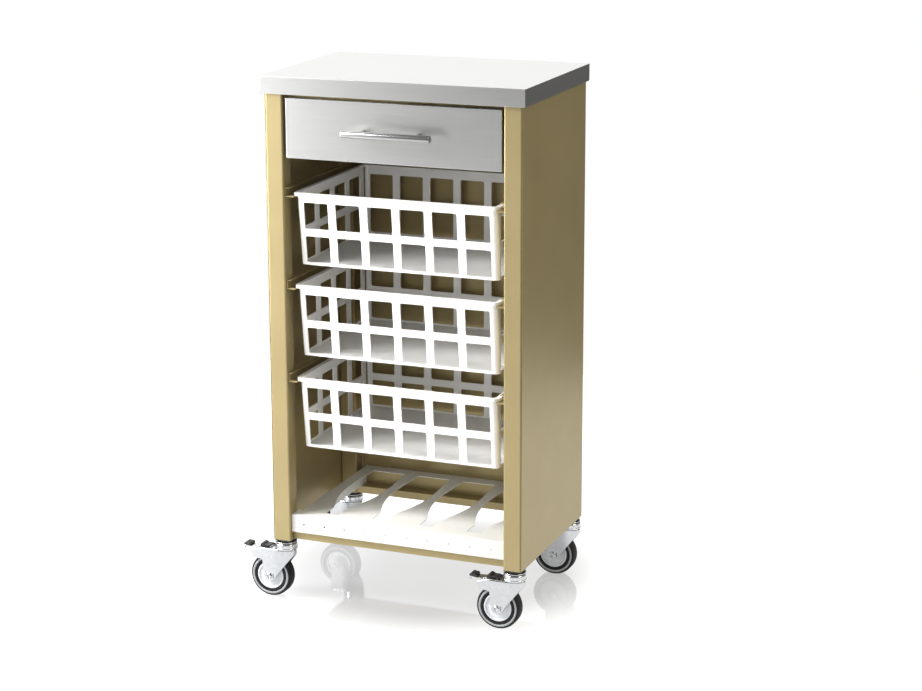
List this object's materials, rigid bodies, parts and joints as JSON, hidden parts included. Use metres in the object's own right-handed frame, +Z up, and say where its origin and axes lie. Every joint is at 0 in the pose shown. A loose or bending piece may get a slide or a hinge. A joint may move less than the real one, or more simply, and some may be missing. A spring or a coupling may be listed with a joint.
{
  "type": "medication cart",
  "caption": "Slim trolley on swivel casters with a steel worktop, a drawer with a bar handle, pull-out lattice baskets and a lower shelf with bottle-shaped cut-outs.",
  "frame": {"origin": "on the floor under the middle of the whole object's bounding box", "axes": "+X to the cart's right as seen from the front, +Y to the rear, +Z up"},
  "size_m": [0.5146, 0.3416, 0.9],
  "materials": {
    "paint": "satin beige metallic powder coat",
    "worktop": "brushed stainless steel",
    "handle": "satin stainless steel",
    "zinc": "zinc-plated sheet steel",
    "basket": "satin white polypropylene",
    "shelf": "satin white powder coat",
    "chrome": "bright zinc plate",
    "wheel_hub": "light grey nylon",
    "tyre": "black rubber",
    "black_plastic": "black nylon",
    "core": "raw particle board"
  },
  "bodies": {
    "cabinet": {"post_front_left": "paint", "post_plug_front_left": "black_plastic", "caster_stem_front_left": "chrome", "post_front_right": "paint", "post_plug_front_right": "black_plastic", "caster_stem_front_right": "chrome", "post_rear_left": "paint", "post_plug_rear_left": "black_plastic", "caster_stem_rear_left": "chrome", "post_rear_right": "paint", "post_plug_rear_right": "black_plastic", "caster_stem_rear_right": "chrome", "side_panel_left": "paint", "drawer_runner_cabinet_left": "zinc", "basket_rail_top_left": "paint", "basket_rail_middle_left": "paint", "basket_rail_bottom_left": "paint", "side_panel_right": "paint", "drawer_runner_cabinet_right": "zinc", "basket_rail_top_right": "paint", "basket_rail_middle_right": "paint", "basket_rail_bottom_right": "paint", "lower_front_crossbar": "paint", "lower_rear_crossbar": "paint", "upper_front_crossbar": "paint", "upper_rear_crossbar": "paint", "back_panel": "paint", "worktop_shell": "worktop", "worktop_core": "core", "bottle_shelf": "shelf"},
    "drawer": {"drawer_front": "worktop", "drawer_box": "zinc", "handle_bar": "handle", "handle_standoff_left": "handle", "handle_standoff_right": "handle", "drawer_runner_drawer_left": "zinc", "drawer_runner_drawer_right": "zinc"},
    "basket_top_body": {"basket_top": "basket"},
    "basket_middle_body": {"basket_middle": "basket"},
    "basket_bottom_body": {"basket_bottom": "basket"},
    "caster_front_left": {"caster_fork_front_left": "chrome", "caster_axle_front_left": "chrome"},
    "wheel_front_left": {"wheel_hub_front_left": "wheel_hub", "wheel_tyre_front_left": "tyre"},
    "caster_front_right": {"caster_fork_front_right": "chrome", "caster_axle_front_right": "chrome"},
    "wheel_front_right": {"wheel_hub_front_right": "wheel_hub", "wheel_tyre_front_right": "tyre"},
    "caster_rear_left": {"caster_fork_rear_left": "chrome", "caster_axle_rear_left": "chrome"},
    "wheel_rear_left": {"wheel_hub_rear_left": "wheel_hub", "wheel_tyre_rear_left": "tyre"},
    "caster_rear_right": {"caster_fork_rear_right": "chrome", "caster_axle_rear_right": "chrome"},
    "wheel_rear_right": {"wheel_hub_rear_right": "wheel_hub", "wheel_tyre_rear_right": "tyre"},
    "pedal_left": {"brake_pedal_left": "black_plastic"},
    "pedal_right": {"brake_pedal_right": "black_plastic"}
  },
  "joints": [
    {"name": "drawer_slide", "type": "slide", "parent": "cabinet", "child": "drawer", "axis": [0, -1, 0], "range_m": [0, 0.18]},
    {"name": "basket_top_slide", "type": "slide", "parent": "cabinet", "child": "basket_top_body", "axis": [0, -1, 0], "range_m": [0, 0.2]},
    {"name": "basket_middle_slide", "type": "slide", "parent": "cabinet", "child": "basket_middle_body", "axis": [0, -1, 0], "range_m": [0, 0.2]},
    {"name": "basket_bottom_slide", "type": "slide", "parent": "cabinet", "child": "basket_bottom_body", "axis": [0, -1, 0], "range_m": [0, 0.2]},
    {"name": "caster_swivel_front_left", "type": "hinge", "parent": "cabinet", "child": "caster_front_left", "pos_m": [-0.18025, -0.12775, 0.098], "axis": [0, 0, 1], "continuous": true},
    {"name": "wheel_spin_front_left", "type": "hinge", "parent": "caster_front_left", "child": "wheel_front_left", "pos_m": [-0.20625, -0.12775, 0.0375], "axis": [0, 1, 0], "continuous": true},
    {"name": "caster_swivel_front_right", "type": "hinge", "parent": "cabinet", "child": "caster_front_right", "pos_m": [0.23475, -0.12775, 0.098], "axis": [0, 0, 1], "continuous": true},
    {"name": "wheel_spin_front_right", "type": "hinge", "parent": "caster_front_right", "child": "wheel_front_right", "pos_m": [0.20875, -0.12775, 0.0375], "axis": [0, 1, 0], "continuous": true},
    {"name": "caster_swivel_rear_left", "type": "hinge", "parent": "cabinet", "child": "caster_rear_left", "pos_m": [-0.18025, 0.15125, 0.098], "axis": [0, 0, 1], "continuous": true},
    {"name": "wheel_spin_rear_left", "type": "hinge", "parent": "caster_rear_left", "child": "wheel_rear_left", "pos_m": [-0.20625, 0.15125, 0.0375], "axis": [0, 1, 0], "continuous": true},
    {"name": "caster_swivel_rear_right", "type": "hinge", "parent": "cabinet", "child": "caster_rear_right", "pos_m": [0.23475, 0.15125, 0.098], "axis": [0, 0, 1], "continuous": true},
    {"name": "wheel_spin_rear_right", "type": "hinge", "parent": "caster_rear_right", "child": "wheel_rear_right", "pos_m": [0.20875, 0.15125, 0.0375], "axis": [0, 1, 0], "continuous": true},
    {"name": "brake_pedal_press_left", "type": "hinge", "parent": "caster_front_left", "child": "pedal_left", "pos_m": [-0.21825, -0.12775, 0.082], "axis": [0, -1, 0], "range_deg": [0, 10]},
    {"name": "brake_pedal_press_right", "type": "hinge", "parent": "caster_front_right", "child": "pedal_right", "pos_m": [0.19675, -0.12775, 0.082], "axis": [0, -1, 0], "range_deg": [0, 10]}
  ]
}
